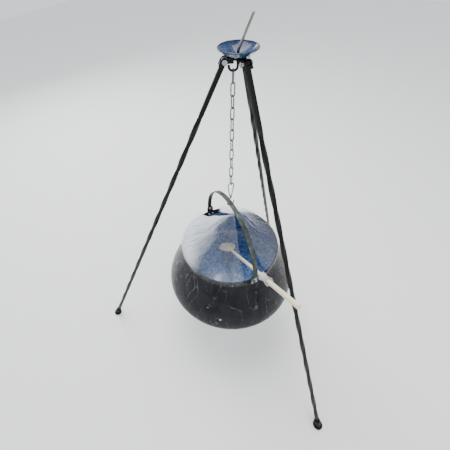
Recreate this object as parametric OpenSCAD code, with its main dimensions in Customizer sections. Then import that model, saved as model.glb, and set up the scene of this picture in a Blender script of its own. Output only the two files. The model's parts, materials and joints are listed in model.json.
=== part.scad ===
// Campfire cooking tripod: three hinged legs of twisted square bar under a dished head, with a hook,
// a welded chain, a wire hook and a bulging kettle on a strap bail. Millimetres, +Z up.
// The origin is the middle of the feet's box, on the ground; the back leg points along +Y.

/* [Tripod] */
// Height at which the three leg lines would meet
apex_h = 1100; // [1000:10:1200]
// Radius of the circle on which the leg lines meet the ground
foot_circle_r = 500; // [460:5:540]
// Side of the square leg bar
bar_w = 10; // [9:0.5:12]
// Distance of each leg's hinge from the tripod's axis
hinge_r = 27.3; // [26:0.1:28]
// Radius of the eye forged at the top of each leg
leg_eye_r = 7; // [6:0.5:7]
// Length of plain bar between the hinge and the twist
plain_len = 122; // [80:1:200]
// Length of bar that makes one quarter of a turn
quarter_turn = 82; // [70:1:82]
// Quarter turns in each leg
quarter_turns = 12; // [8:1:12]
// Diameter of a foot pad
pad_d = 30; // [26:1:36]

/* [Head] */
// Radius of the dish at its rim
dish_r = 40; // [36:1:44]
// Height of the dish's rim above the ground
dish_rim_h = 1064; // [1060:1:1068]
// Depth of the dish
dish_depth = 17; // [16:0.5:18]
// Thickness of the dish's sheet
dish_t = 1.5; // [1:0.1:2]
// Thickness of the leg plate under the dish
plate_t = 3; // [2.5:0.5:3]
// Radius of the hinge bolts and of the hook's stem
bolt_r = 3; // [2.5:0.5:3]

/* [Hook] */
// Radius of the hook's bent wire
hook_wire_r = 2.5; // [2:0.1:2.5]
// Radius of the hook's bend, to the middle of the wire
hook_bend_r = 9; // [8:0.5:10]
// Length of the leaning rod above the nut
rod_len = 66; // [40:1:90]
// Lean of that rod from upright
rod_lean = 21.7; // [0:0.1:30]

/* [Chain] */
// Chain wire radius
wire_r = 1.5; // [1.2:0.1:1.5]
// Spacing of the links
pitch = 28; // [27:0.5:29]
// Width of a link over its two wires
link_w = 12; // [11.6:0.1:12.5]

/* [Kettle] */
// Outer radius of the kettle's collar
collar_r = 155; // [150:1:160]
// Outer radius of the kettle's belly
belly_r = 218; // [205:1:225]
// Height of the kettle's rim above the ground
rim_h = 460; // [450:1:460]
// Height of the widest part of the belly above the ground
belly_h = 288; // [280:1:310]
// Height of the underside of the kettle above the ground
base_h = 240; // [220:1:250]
// Kettle wall thickness
wall_t = 1.6; // [1.2:0.1:2]
// Width of the bail's strap
strap_w = 14; // [12:1:16]
// Thickness of the bail's strap
strap_t = 3; // [2:0.5:3]

/* [Spoon] */
// Length from the middle of the bowl to the end of the handle
spoon_len = 500; // [440:5:500]
// Rise of the handle above level
spoon_rise = 34.4; // [34:0.1:35]

/* [Hidden] */
$fn = 64;
clear = 0.25;              // gap between wires that hang in each other
run = 0.1;                 // running clearance on a pin, on the radius

leg_az = [90, 210, 330];   // back, left, right
foot_shift = 3;             // pad centre inside the point where the leg's line meets the ground
axis_y = -(foot_circle_r - foot_shift) / 4;
lean = atan(foot_circle_r / apex_h);
hinge_h = apex_h - hinge_r / tan(lean);
leg_len = hinge_h / cos(lean);
twist_len = quarter_turn * quarter_turns;
socket_in = 8.4;           // bar end to ground, measured along the leg
bar_end = leg_len - socket_in;
sleeve_len = 27;
cheek_t = 3;
cheek_gap = 0.5;
cheek_x = bar_w / 2 + cheek_gap;
cheek_out = cheek_x + cheek_t;
stop_s = 12;               // reach of the outward stop below the hinge

dish_ri = (pow(dish_r, 2) + pow(dish_depth, 2)) / (2 * dish_depth);
dish_c = dish_rim_h - dish_depth + dish_ri;
dish_ro = dish_ri + dish_t;
seat_r = 8.5;
seat_h = dish_c - sqrt(pow(dish_ri, 2) - pow(seat_r, 2));
washer_t = 1.6;
nut_h = 5;
nut_r = 5.8;
bend_h = seat_h + washer_t + nut_h + 2.4;
plate_top = dish_c - dish_ro;
plate_r = 14;
cheek_r = 7.5;
web_in = 9;                // where the cheeks' webs start, from the tripod's axis
web_h = 9;
web_t = 2.4;
tab_t = 2.7;

hook_az = 28.6;            // direction in which the hook's bend lies, from its tip to its stem
hook_bend_h = 1028;
hook_low = hook_bend_h - hook_bend_r;
chain_x = -hook_bend_r * cos(hook_az);
chain_y = axis_y - hook_bend_r * sin(hook_az);

link_c = pitch + 2 * wire_r + clear;                    // wire centre to wire centre, top to bottom
link_bend_r = link_w / 2 - wire_r;
link_top = hook_low + hook_wire_r + wire_r + clear;
link_turn = [-7, 8, 14, 16, 14, 12, 10, 8, 6, 7, 8];     // how far each link turns from square
link_az = [for (i = [0 : 10]) 133.6 + 90 * i + link_turn[i]];

bail_az = link_az[10] - 900;
eye_top = link_top - 10 * pitch - link_c + 2 * wire_r + clear;
eye_r = 9;
neck_drop = 50;
pivot_h = rim_h + 12;
strap_r = collar_r + 5.6;                               // strap's inner face from the kettle's axis
bail_top = 640;
bail_a = strap_r + strap_t / 2;
bail_b = bail_top - strap_t / 2 - pivot_h;
cradle_h = bail_top - strap_t - wire_r - clear;
cradle_w = 20;

spoon_az = -42;
spoon_at = [-46, 80, 307.5];
collar_drop = 20;
rivet_r = 2;
rivet_off = 7;

// a quarter of the kettle's outline as a cubic curve
function bez(p, t) = pow(1 - t, 3) * p[0] + 3 * t * pow(1 - t, 2) * p[1]
  + 3 * t * t * (1 - t) * p[2] + pow(t, 3) * p[3];
function dbez(p, t) = 3 * pow(1 - t, 2) * (p[1] - p[0]) + 6 * t * (1 - t) * (p[2] - p[1])
  + 3 * t * t * (p[3] - p[2]);
function unit(v) = v / norm(v);
function out(p, t, d) = bez(p, t) + d * [-unit(dbez(p, t))[1], unit(dbez(p, t))[0]];
wall_curve = [[collar_r, rim_h - collar_drop], [collar_r + 3, rim_h - 40],
  [belly_r - 3, belly_h + 45], [belly_r, belly_h]];
base_curve = [[belly_r, belly_h], [belly_r, belly_h - 30], [belly_r - 34, base_h], [95, base_h]];
function shell_line(d) = concat(
  [for (i = [0 : 13]) out(wall_curve, i / 14, d)],
  [for (i = [0 : 14]) out(base_curve, i / 14, d)]);
function film_line(d) = concat(
  [for (i = [2 : 13]) out(wall_curve, i / 14, d)],
  [for (i = [0 : 14]) out(base_curve, i / 14, d)]);
function reversed(v) = [for (i = [len(v) - 1 : -1 : 0]) v[i]];

module on_leg(k) {
  translate([0, axis_y, 0]) rotate([0, 0, leg_az[k] - 90])
    translate([0, hinge_r, hinge_h]) rotate([lean, 0, 0]) children();
}

module on_chain(az) {
  translate([chain_x, chain_y, 0]) rotate([0, 0, az]) children();
}

// part of a ring of round wire in the XZ plane, from angle a to angle b, with 0 along +X
module wire_arc(bend, r, a, b) {
  rotate([90, 0, 0]) rotate([0, 0, a]) rotate_extrude(angle = b - a) translate([bend, 0]) circle(r);
}

// points on a circle about c, from angle a to angle b in n steps
function arc_pts(c, bend, a, b, n) = [for (i = [0 : n])
  let (q = a + (b - a) * i / n) c + bend * [cos(q), sin(q)]];
function leg_to(p, i) = i == len(p) - 1 ? p[i] - p[i - 1] : p[i + 1] - p[i];
function along(p, i) = unit(unit(leg_to(p, i)) + unit(leg_to(p, max(i - 1, 0))));

// round wire swept along points p in the XZ plane, its last ring drawn in to a blunt tip
module bent_wire(p, r, tip = 1, n = 14) {
  m = len(p);
  rings = [for (i = [0 : m - 1]) let (t = along(p, i), q = i == m - 1 ? r * tip : r)
    for (j = [0 : n - 1]) let (a = 360 * j / n)
      [p[i][0] - t[1] * q * cos(a), q * sin(a), p[i][1] + t[0] * q * cos(a)]];
  sides = [for (i = [0 : m - 2]) for (j = [0 : n - 1])
    [i * n + j, i * n + (j + 1) % n, (i + 1) * n + (j + 1) % n, (i + 1) * n + j]];
  caps = [[for (j = [n - 1 : -1 : 0]) j], [for (j = [0 : n - 1]) (m - 1) * n + j]];
  polyhedron(rings, concat(sides, caps));
}

module hex(r, h) {
  cylinder(r = r, h = h, $fn = 6);
}

module head_dish() {
  color("midnightblue") translate([0, axis_y, 0]) difference() {
    union() {
      intersection() {
        difference() {
          translate([0, 0, dish_c]) sphere(dish_ro);
          translate([0, 0, dish_c]) sphere(dish_ri);
        }
        translate([0, 0, dish_rim_h - 30]) cylinder(r = dish_r + 10, h = 30);
      }
      intersection() {
        translate([0, 0, seat_h - 4]) cylinder(r = seat_r, h = 4);
        translate([0, 0, dish_c]) sphere(dish_ro);
      }
      translate([0, 0, dish_rim_h]) rotate_extrude() translate([dish_r + 0.6, 0]) circle(1.5);
    }
    translate([0, 0, dish_rim_h - 40]) cylinder(r = bolt_r + run, h = 40);
  }
}

// one clevis: two cheeks, their webs to the middle, and the bridge that stops the leg going further out
module clevis() {
  mid = cheek_x + cheek_t / 2;
  on_leg(0) for (s = [-1, 1]) translate([s * mid, 0, 0]) {
    rotate([0, 90, 0]) cylinder(r = cheek_r, h = cheek_t, center = true);
    translate([-tab_t / 2, -4, -stop_s]) cube([tab_t, bar_w / 2 + 4 + cheek_t, stop_s]);
  }
  on_leg(0) translate([-mid, bar_w / 2, 1 - stop_s]) cube([2 * mid, cheek_t - 0.5, stop_s / 2]);
  for (s = [-1, 1]) translate([s * mid - web_t / 2, axis_y + web_in, plate_top - web_h - 0.5])
    cube([web_t, hinge_r - web_in, web_h]);
}

module head_plate() {
  color("dimgray") difference() {
    union() {
      translate([0, axis_y, plate_top - plate_t]) cylinder(r = plate_r, h = plate_t);
      for (k = [0 : 2]) translate([0, axis_y, 0]) rotate([0, 0, leg_az[k] - 90])
        translate([0, -axis_y, 0]) clevis();
    }
    translate([0, axis_y, plate_top - 20]) cylinder(r = bolt_r + run, h = 30);
    for (k = [0 : 2]) on_leg(k) rotate([0, 90, 0]) cylinder(r = bolt_r, h = 40, center = true);
  }
}

module top_hook() {
  tip_bend = 20;
  tip_turn = 9;
  rod_bend = 12;
  tip_c = [-2 * hook_bend_r - tip_bend, 0];
  bend_c = [-hook_bend_r, 0];
  color("black") {
    translate([0, axis_y, 1033]) cylinder(r = bolt_r, h = bend_h - 1033);
    translate([0, axis_y, hook_bend_h]) rotate([0, 0, hook_az]) bent_wire(concat(
      [[0, 7]], arc_pts(bend_c, hook_bend_r, 360, 180, 18), arc_pts(tip_c, tip_bend, 3, tip_turn, 2),
      [tip_c + tip_bend * [cos(tip_turn), sin(tip_turn)] + 1.4 * [-sin(tip_turn), cos(tip_turn)]]),
      hook_wire_r, 0.6);
  }
  color("silver") translate([0, axis_y, bend_h - 1]) rotate([0, 0, 22.8]) bent_wire(concat(
    [[0, -1]], arc_pts([rod_bend, 0], rod_bend, 180, 180 - rod_lean, 4),
    [rod_tip(rod_bend, rod_len), rod_tip(rod_bend, rod_len + 1.6)]), bolt_r - 0.1, 0.6);
}

function rod_tip(bend, s) = bend * [1 - cos(rod_lean), sin(rod_lean)] + s * [sin(rod_lean), cos(rod_lean)];

module hook_washer() {
  color("silver") translate([0, axis_y, seat_h]) difference() {
    cylinder(r = 7, h = washer_t);
    translate([0, 0, -1]) cylinder(r = bolt_r, h = washer_t + 2);
  }
}

module hook_nut() {
  color("silver") translate([0, axis_y, seat_h + washer_t]) difference() {
    hex(nut_r, nut_h);
    translate([0, 0, -1]) cylinder(r = bolt_r, h = nut_h + 2);
  }
}

module leg(k) {
  color("black") on_leg(k) {
    difference() {
      union() {
        rotate([0, 90, 0]) cylinder(r = leg_eye_r, h = bar_w, center = true);
        translate([-bar_w / 2, -bar_w / 2, -plain_len]) cube([bar_w, bar_w, plain_len]);
      }
      rotate([0, 90, 0]) cylinder(r = bolt_r + run, h = bar_w + 2, center = true);
    }
    translate([0, 0, -plain_len - twist_len])
      linear_extrude(height = twist_len, twist = -90 * quarter_turns, slices = 8 * quarter_turns,
        segments = 4)
        square(bar_w, center = true);
    translate([-bar_w / 2, -bar_w / 2, -bar_end])
      cube([bar_w, bar_w, bar_end - plain_len - twist_len]);
  }
}

module foot(k) {
  pad_r = pad_d / 2;
  color("black") difference() {
    union() {
      translate([0, axis_y, 0]) rotate([0, 0, leg_az[k] - 90])
        translate([0, foot_circle_r - foot_shift, 0]) {
          cylinder(r = pad_r, h = 4);
          translate([0, 0, 4]) cylinder(r1 = pad_r, r2 = 10, h = 6);
        }
      on_leg(k) translate([0, 0, -bar_end - 3]) cylinder(r = 9.2, h = sleeve_len);
    }
    on_leg(k) translate([-bar_w / 2, -bar_w / 2, -bar_end]) cube([bar_w, bar_w, sleeve_len + 10]);
  }
}

module leg_bolts() {
  color("gray") for (k = [0 : 2]) on_leg(k) rotate([0, 90, 0]) {
    translate([0, 0, -cheek_out]) cylinder(r = bolt_r, h = 2 * cheek_out + 6.5);
    translate([0, 0, -cheek_out - 4]) hex(nut_r, 4);
  }
}

module leg_nuts() {
  color("gray") for (k = [0 : 2]) on_leg(k) rotate([0, 90, 0]) translate([0, 0, cheek_out])
    difference() {
      hex(nut_r, nut_h);
      translate([0, 0, -1]) cylinder(r = bolt_r, h = nut_h + 2);
    }
}

module chain_link(i) {
  straight = link_c - 2 * link_bend_r;
  color("silver") on_chain(link_az[i]) translate([0, 0, link_top - i * pitch - link_bend_r]) {
    wire_arc(link_bend_r, wire_r, 0, 180);
    translate([0, 0, -straight]) wire_arc(link_bend_r, wire_r, 180, 360);
    for (s = [-1, 1]) translate([s * link_bend_r, 0, -straight]) cylinder(r = wire_r, h = straight);
  }
}

// a pear-shaped eye closed by a sleeve at its neck, over an open cradle that the strap lies in
module kettle_hook() {
  neck = [1.6, -(neck_drop - eye_r)];
  touch = atan2(neck[1], neck[0]) + acos(eye_r / norm(neck));
  sleeve_h = 8;
  side = cradle_w / 2;
  corner = 4;
  crank_r = 7;
  crank = 50;
  crank_run = (side - neck[0] - 2 * crank_r * (1 - cos(crank))) / sin(crank);
  crank_drop = 2 * crank_r * sin(crank) + crank_run * cos(crank);
  low = cradle_h - eye_top + eye_r;
  crank_h = neck[1] - sleeve_h / 2;
  path = concat(
    [[-neck[0], neck[1]]], arc_pts([0, 0], eye_r, 180 - touch, touch, 16), [neck],
    arc_pts([neck[0] + crank_r, crank_h], crank_r, 180, 180 + crank, 4),
    arc_pts([side - crank_r, crank_h - crank_drop], crank_r, crank, 0, 4),
    arc_pts([side - corner, low + corner], corner, 0, -90, 5),
    arc_pts([corner - side, low + corner], corner, 270, 180, 5),
    [[-side, low + corner + 8], [-side, low + corner + 9]]);
  color("silver") on_chain(bail_az - 90) translate([0, 0, eye_top - eye_r]) {
    bent_wire(path, wire_r, 0.6, 12);
    translate([0, 0, neck[1] - sleeve_h / 2]) cylinder(r = 3.6, h = sleeve_h);
  }
}

function arch(off, n) = [for (i = [0 : n])
  let (a = 180 * i / n, p = [bail_a * cos(a), bail_b * sin(a)],
    v = unit([bail_b * cos(a), bail_a * sin(a)])) p + off * v];

module bail() {
  color("gray") on_chain(bail_az) translate([0, 0, pivot_h]) difference() {
    union() {
      rotate([90, 0, 0]) linear_extrude(strap_w, center = true)
        polygon(concat(arch(strap_t / 2, 60), reversed(arch(-strap_t / 2, 60))));
      for (s = [-1, 1]) translate([s * bail_a, 0, 0]) rotate([0, 90, 0])
        cylinder(r = strap_w / 2, h = strap_t, center = true);
    }
    for (s = [-1, 1]) translate([s * bail_a, 0, 0]) rotate([0, 90, 0])
      cylinder(r = 3 + run, h = 20, center = true);
  }
}

module kettle() {
  lip = rim_h - 1;
  color("darkslategray") on_chain(bail_az) difference() {
    union() {
      rotate_extrude($fn = 128) polygon(concat(
        [[collar_r, lip]], shell_line(0), [[0, base_h]],
        [[0, base_h + wall_t]], reversed(shell_line(-wall_t)), [[collar_r - wall_t, lip]]));
      translate([0, 0, lip]) rotate_extrude($fn = 128) translate([collar_r - 0.2, 0]) circle(2);
    }
    at_ears() rivet_holes();
  }
}

module at_ears() {
  for (e = [0, 180]) rotate([0, 0, e]) children();
}

module rivet_holes() {
  for (s = [-1, 1]) translate([collar_r - 10, s * rivet_off, rim_h - 11]) rotate([0, 90, 0])
    cylinder(r = rivet_r, h = 30);
}

// bracket on the collar that rises over the rim and carries the bail's pivot
module ear() {
  color("dimgray") difference() {
    union() {
      translate([collar_r - 3, -11, rim_h - 19]) cube([8, 22, pivot_h - rim_h + 19]);
      translate([collar_r - 3, 0, pivot_h]) rotate([0, 90, 0]) cylinder(r = 11, h = 8);
    }
    translate([0, 0, rim_h - 30]) cylinder(r = collar_r, h = 30, $fn = 128);
    translate([0, 0, rim_h - 1]) rotate_extrude($fn = 128) translate([collar_r - 0.2, 0]) circle(2);
    translate([collar_r - 10, -20, rim_h - 1]) cube([12, 40, 40]);
    translate([collar_r, 0, pivot_h]) rotate([0, 90, 0]) cylinder(r = 3, h = 30, center = true);
    rivet_holes();
  }
}

module ear_rivets() {
  color("gray") on_chain(bail_az) at_ears() for (s = [-1, 1])
    translate([0, s * rivet_off, rim_h - 11]) rotate([0, 90, 0]) {
      translate([0, 0, collar_r - 5]) cylinder(r = rivet_r, h = 10);
      translate([0, 0, collar_r + 5]) cylinder(r1 = 3.6, r2 = 2.4, h = 1.6);
      translate([0, 0, collar_r - 5.2]) cylinder(r1 = 2.4, r2 = 3.6, h = 3.2);
    }
}

module bail_pivots() {
  color("gray") on_chain(bail_az) at_ears() translate([0, 0, pivot_h]) rotate([0, 90, 0]) {
    translate([0, 0, collar_r + 2]) cylinder(r = 3, h = 8);
    translate([0, 0, collar_r - 0.5]) cylinder(r1 = 3.5, r2 = 5, h = 2.5);
    translate([0, 0, strap_r + strap_t + 0.3]) cylinder(r1 = 5, r2 = 3.5, h = 2.5);
  }
}

module wooden_spoon() {
  color("burlywood") on_chain(0) translate(spoon_at) rotate([0, -spoon_rise, spoon_az]) {
    difference() {
      scale([44, 30, 9]) sphere(1, $fn = 36);
      translate([0, 0, 8]) scale([37, 24, 10]) sphere(1, $fn = 36);
    }
    translate([38, 0, 0]) rotate([0, 90, 0]) cylinder(r1 = 5.5, r2 = 7, h = spoon_len - 38);
  }
}

module film_wrap() {
  color("white", 0.3) on_chain(bail_az) rotate_extrude($fn = 128)
    polygon(concat(film_line(0.4), reversed(film_line(0))));
}

module ear_back() {
  on_chain(bail_az) ear();
}

module ear_front() {
  on_chain(bail_az + 180) ear();
}

head_dish();
head_plate();
top_hook();
hook_washer();
hook_nut();
leg(0);  // leg_back
leg(1);  // leg_left
leg(2);  // leg_right
foot(0);  // foot_back
foot(1);  // foot_left
foot(2);  // foot_right
leg_bolts();
leg_nuts();
chain_link(0);  // chain_link_01
chain_link(1);  // chain_link_02
chain_link(2);  // chain_link_03
chain_link(3);  // chain_link_04
chain_link(4);  // chain_link_05
chain_link(5);  // chain_link_06
chain_link(6);  // chain_link_07
chain_link(7);  // chain_link_08
chain_link(8);  // chain_link_09
chain_link(9);  // chain_link_10
chain_link(10);  // chain_link_11
kettle_hook();
bail();
kettle();
ear_back();
ear_front();
ear_rivets();
bail_pivots();
wooden_spoon();
film_wrap();
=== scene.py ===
import bpy, bmesh, json, math
from mathutils import Matrix, Vector, noise

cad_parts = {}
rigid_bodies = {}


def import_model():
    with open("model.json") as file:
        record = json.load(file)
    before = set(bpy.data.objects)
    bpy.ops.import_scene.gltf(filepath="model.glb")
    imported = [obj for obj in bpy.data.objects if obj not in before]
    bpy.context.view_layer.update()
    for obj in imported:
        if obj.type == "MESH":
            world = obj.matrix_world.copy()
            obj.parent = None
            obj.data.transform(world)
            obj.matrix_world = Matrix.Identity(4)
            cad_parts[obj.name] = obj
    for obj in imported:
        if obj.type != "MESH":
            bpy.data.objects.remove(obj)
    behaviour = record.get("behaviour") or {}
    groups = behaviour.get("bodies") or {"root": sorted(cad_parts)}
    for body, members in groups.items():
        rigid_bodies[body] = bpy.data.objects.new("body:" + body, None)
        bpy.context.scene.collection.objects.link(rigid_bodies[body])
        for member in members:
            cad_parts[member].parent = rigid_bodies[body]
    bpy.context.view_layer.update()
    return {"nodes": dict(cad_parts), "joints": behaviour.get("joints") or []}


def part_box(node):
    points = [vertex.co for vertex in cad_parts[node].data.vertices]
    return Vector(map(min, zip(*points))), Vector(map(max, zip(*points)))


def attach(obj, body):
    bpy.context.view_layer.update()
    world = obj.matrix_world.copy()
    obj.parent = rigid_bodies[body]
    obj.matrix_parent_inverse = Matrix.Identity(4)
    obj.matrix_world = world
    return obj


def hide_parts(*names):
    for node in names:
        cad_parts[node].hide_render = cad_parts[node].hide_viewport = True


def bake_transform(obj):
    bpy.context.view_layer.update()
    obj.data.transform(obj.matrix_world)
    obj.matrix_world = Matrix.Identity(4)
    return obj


for leftover in list(bpy.data.objects):
    bpy.data.objects.remove(leftover)
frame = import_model()
joints = {j["name"]: j for j in frame["joints"]}
nodes = frame["nodes"]
mm = 0.001


def rgb(hexColour):
    parts = [int(hexColour[i:i + 2], 16) / 255 for i in (1, 3, 5)]
    return tuple(c / 12.92 if c <= 0.04045 else ((c + 0.055) / 1.055) ** 2.4 for c in parts) + (1.0,)


def addNode(tree, kind, inputs=None, **settings):
    node = tree.nodes.new(kind)
    for name, value in settings.items():
        setattr(node, name, value)
    for name, value in (inputs or {}).items():
        if isinstance(value, bpy.types.NodeSocket):
            tree.links.new(value, node.inputs[name])
        else:
            node.inputs[name].default_value = value
    return node


def stops(node, *pairs):
    ramp = node.color_ramp
    while len(ramp.elements) < len(pairs):
        ramp.elements.new(0.5)
    for element, (place, colour) in zip(ramp.elements, pairs):
        element.position = place
        element.color = rgb(colour)
    return node


def startMaterial(name, **sockets):
    material = bpy.data.materials.new(name)
    material.use_nodes = True
    tree = material.node_tree
    shader = tree.nodes["Principled BSDF"]
    for socket, value in sockets.items():
        shader.inputs[socket.replace("_", " ")].default_value = value
    return material, tree, shader, addNode(tree, "ShaderNodeTexCoord").outputs["Object"]


# wires the given outputs, and a bump made from height, into the shader
def dress(tree, shader, outputs, height, strength, depth):
    bump = addNode(tree, "ShaderNodeBump", {"Height": height, "Strength": strength, "Distance": depth})
    for socket, output in {**outputs, "Normal": bump.outputs["Normal"]}.items():
        tree.links.new(output, shader.inputs[socket])


def azimuth(axis):
    return math.atan2(axis[1], axis[0])


# polyester powder coat on mild steel bar: near black, satin, with a fine orange peel
def powderCoat():
    material, tree, shader, place = startMaterial("blackPowderCoat", Roughness=0.4, Specular_IOR_Level=0.18)
    cloud = addNode(tree, "ShaderNodeTexNoise", {"Vector": place, "Scale": 60.0, "Detail": 4.0})
    tone = stops(addNode(tree, "ShaderNodeValToRGB", {"Fac": cloud.outputs["Fac"]}),
                 (0.3, "#030304"), (0.75, "#0a0a0b"))
    peel = addNode(tree, "ShaderNodeTexNoise", {"Vector": place, "Scale": 700.0, "Detail": 2.0})
    rough = addNode(tree, "ShaderNodeMapRange", {"Value": cloud.outputs["Fac"], "To Min": 0.3, "To Max": 0.5})
    dress(tree, shader, {"Base Color": tone.outputs["Color"], "Roughness": rough.outputs["Result"]},
          peel.outputs["Fac"], 0.12, 0.4 * mm)
    return material


# vitreous enamel fired on sheet steel: glassy coat over a speckled ground
def enamel(name, ground, deep, speck, speckSize, speckShare, cloudSize, gloss=1.0):
    material, tree, shader, place = startMaterial(
        name, Roughness=0.25, Specular_IOR_Level=0.08 + 0.3 * gloss, Coat_Weight=gloss, Coat_Roughness=0.05)
    cloud = addNode(tree, "ShaderNodeTexNoise", {"Vector": place, "Scale": 1 / cloudSize, "Detail": 5.0,
                                                 "Roughness": 0.62})
    tone = stops(addNode(tree, "ShaderNodeValToRGB", {"Fac": cloud.outputs["Fac"]}), (0.4, deep), (0.6, ground))
    warp = addNode(tree, "ShaderNodeTexNoise", {"Vector": place, "Scale": 1.6 / speckSize, "Detail": 2.0})
    bent = addNode(tree, "ShaderNodeVectorMath", {0: warp.outputs["Color"], 1: (speckSize * 0.7,) * 3},
                   operation="MULTIPLY")
    moved = addNode(tree, "ShaderNodeVectorMath", {0: place, 1: bent.outputs["Vector"]}, operation="ADD")
    cells = addNode(tree, "ShaderNodeTexVoronoi", {"Vector": moved.outputs["Vector"], "Scale": 1 / speckSize})
    pick = addNode(tree, "ShaderNodeSeparateColor", {"Color": cells.outputs["Color"]})
    chosen = addNode(tree, "ShaderNodeMath", {0: pick.outputs["Red"], 1: speckShare}, operation="LESS_THAN")
    size = addNode(tree, "ShaderNodeMapRange", {"Value": pick.outputs["Green"], "To Min": 0.12, "To Max": 0.42})
    inside = addNode(tree, "ShaderNodeMath", {0: cells.outputs["Distance"], 1: size.outputs["Result"]},
                     operation="LESS_THAN")
    spot = addNode(tree, "ShaderNodeMath", {0: chosen.outputs["Value"], 1: inside.outputs["Value"]},
                   operation="MULTIPLY")
    mixed = addNode(tree, "ShaderNodeMix", {"Factor": spot.outputs["Value"], "A": tone.outputs["Color"],
                                            "B": rgb(speck)}, data_type="RGBA")
    wave = addNode(tree, "ShaderNodeTexNoise", {"Vector": place, "Scale": 90.0, "Detail": 2.0})
    dress(tree, shader, {"Base Color": mixed.outputs["Result"]}, wave.outputs["Fac"], 0.15, 0.6 * mm)
    return material


# bare and zinc-plated steel: grey, slightly mottled, with fine drawn marks
def plainSteel(name, light, dark, roughness, grain):
    material, tree, shader, place = startMaterial(name, Metallic=1.0, Roughness=roughness)
    cloud = addNode(tree, "ShaderNodeTexNoise", {"Vector": place, "Scale": grain, "Detail": 4.0})
    tone = stops(addNode(tree, "ShaderNodeValToRGB", {"Fac": cloud.outputs["Fac"]}), (0.35, dark), (0.65, light))
    rough = addNode(tree, "ShaderNodeMapRange", {"Value": cloud.outputs["Fac"], "To Min": roughness + 0.1,
                                                 "To Max": roughness - 0.08})
    dress(tree, shader, {"Base Color": tone.outputs["Color"], "Roughness": rough.outputs["Result"]},
          cloud.outputs["Fac"], 0.2, 0.3 * mm)
    return material


# turned and sanded beech, unfinished: pale, straight grain with short darker flecks
def beech(turn):
    material, tree, shader, place = startMaterial("sandedBeech", Roughness=0.62)
    along = addNode(tree, "ShaderNodeMapping", {"Vector": place, "Rotation": turn}, vector_type="TEXTURE")
    pulled = addNode(tree, "ShaderNodeVectorMath", {0: along.outputs["Vector"], 1: (0.06, 1.0, 1.0)},
                     operation="MULTIPLY")
    grain = addNode(tree, "ShaderNodeTexNoise", {"Vector": pulled.outputs["Vector"], "Scale": 420.0,
                                                 "Detail": 6.0, "Roughness": 0.6})
    broad = addNode(tree, "ShaderNodeTexNoise", {"Vector": pulled.outputs["Vector"], "Scale": 90.0})
    both = addNode(tree, "ShaderNodeMath", {0: grain.outputs["Fac"], 1: broad.outputs["Fac"]}, operation="ADD")
    half = addNode(tree, "ShaderNodeMath", {0: both.outputs["Value"], 1: 0.5}, operation="MULTIPLY")
    tone = stops(addNode(tree, "ShaderNodeValToRGB", {"Fac": half.outputs["Value"]}),
                 (0.36, "#c9b78f"), (0.5, "#eadfc0"), (0.62, "#f3ebd6"))
    dress(tree, shader, {"Base Color": tone.outputs["Color"]}, grain.outputs["Fac"], 0.25, 0.4 * mm)
    return material


# clear low-density polyethylene film, crumpled: mostly see-through, white where it turns edge-on or creases, with a
# painted glare that whitens one side of it over the mouth
def polythene(glareSide, glareStart):
    material, tree, shader, place = startMaterial("clearPolythene", Roughness=0.12, IOR=1.5, Coat_Weight=1.0,
                                                  Coat_Roughness=0.05)
    shader.inputs["Base Color"].default_value = rgb("#dfe4ec")
    edge = addNode(tree, "ShaderNodeLayerWeight", {"Blend": 0.2})
    tall = addNode(tree, "ShaderNodeVectorMath", {0: place, 1: (1.0, 1.0, 0.3)}, operation="MULTIPLY")
    crease = addNode(tree, "ShaderNodeTexNoise", {"Vector": tall.outputs["Vector"], "Scale": 7.0, "Detail": 2.0,
                                                  "Roughness": 0.5, "Distortion": 2.2})
    off = addNode(tree, "ShaderNodeMath", {0: crease.outputs["Fac"], 1: 0.5}, operation="SUBTRACT")
    near = addNode(tree, "ShaderNodeMath", {0: off.outputs["Value"]}, operation="ABSOLUTE")
    line = addNode(tree, "ShaderNodeMapRange", {"Value": near.outputs["Value"], "From Max": 0.008,
                                                "To Min": 0.09, "To Max": 0.0})
    height = addNode(tree, "ShaderNodeSeparateXYZ", {"Vector": place})
    above = addNode(tree, "ShaderNodeMapRange", {"Value": height.outputs["Z"], "From Min": 0.44,
                                                 "From Max": 0.475})   # painted glare, only over the mouth
    # painted glare: the film is painted whiter towards one side of the mouth, its edge broken up by noise
    towardGlare = addNode(tree, "ShaderNodeVectorMath", {0: place, 1: glareSide}, operation="DOT_PRODUCT")
    patch = addNode(tree, "ShaderNodeTexNoise", {"Vector": place, "Scale": 11.0, "Detail": 4.0})
    shifted = addNode(tree, "ShaderNodeMath", {0: patch.outputs["Fac"], 1: 0.09, 2: towardGlare.outputs["Value"]},
                      operation="MULTIPLY_ADD")
    glareSideMask = addNode(tree, "ShaderNodeMapRange", {"Value": shifted.outputs["Value"], "From Min": glareStart,
                                                 "From Max": glareStart + 0.06, "To Min": 0.1, "To Max": 0.8})
    glare = addNode(tree, "ShaderNodeMath", {0: above.outputs["Result"], 1: glareSideMask.outputs["Result"]},
                    operation="MULTIPLY")
    veil = addNode(tree, "ShaderNodeMapRange", {"Value": edge.outputs["Facing"], "From Min": 0.45, "To Min": 0.0,
                                                "To Max": 0.16})
    part = addNode(tree, "ShaderNodeMath", {0: line.outputs["Result"], 1: glare.outputs["Value"]}, operation="ADD")
    total = addNode(tree, "ShaderNodeMath", {0: part.outputs["Value"], 1: veil.outputs["Result"]},
                    operation="ADD", use_clamp=True)
    dress(tree, shader, {"Alpha": total.outputs["Value"]}, crease.outputs["Fac"], 0.6, 10 * mm)
    return material


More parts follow.
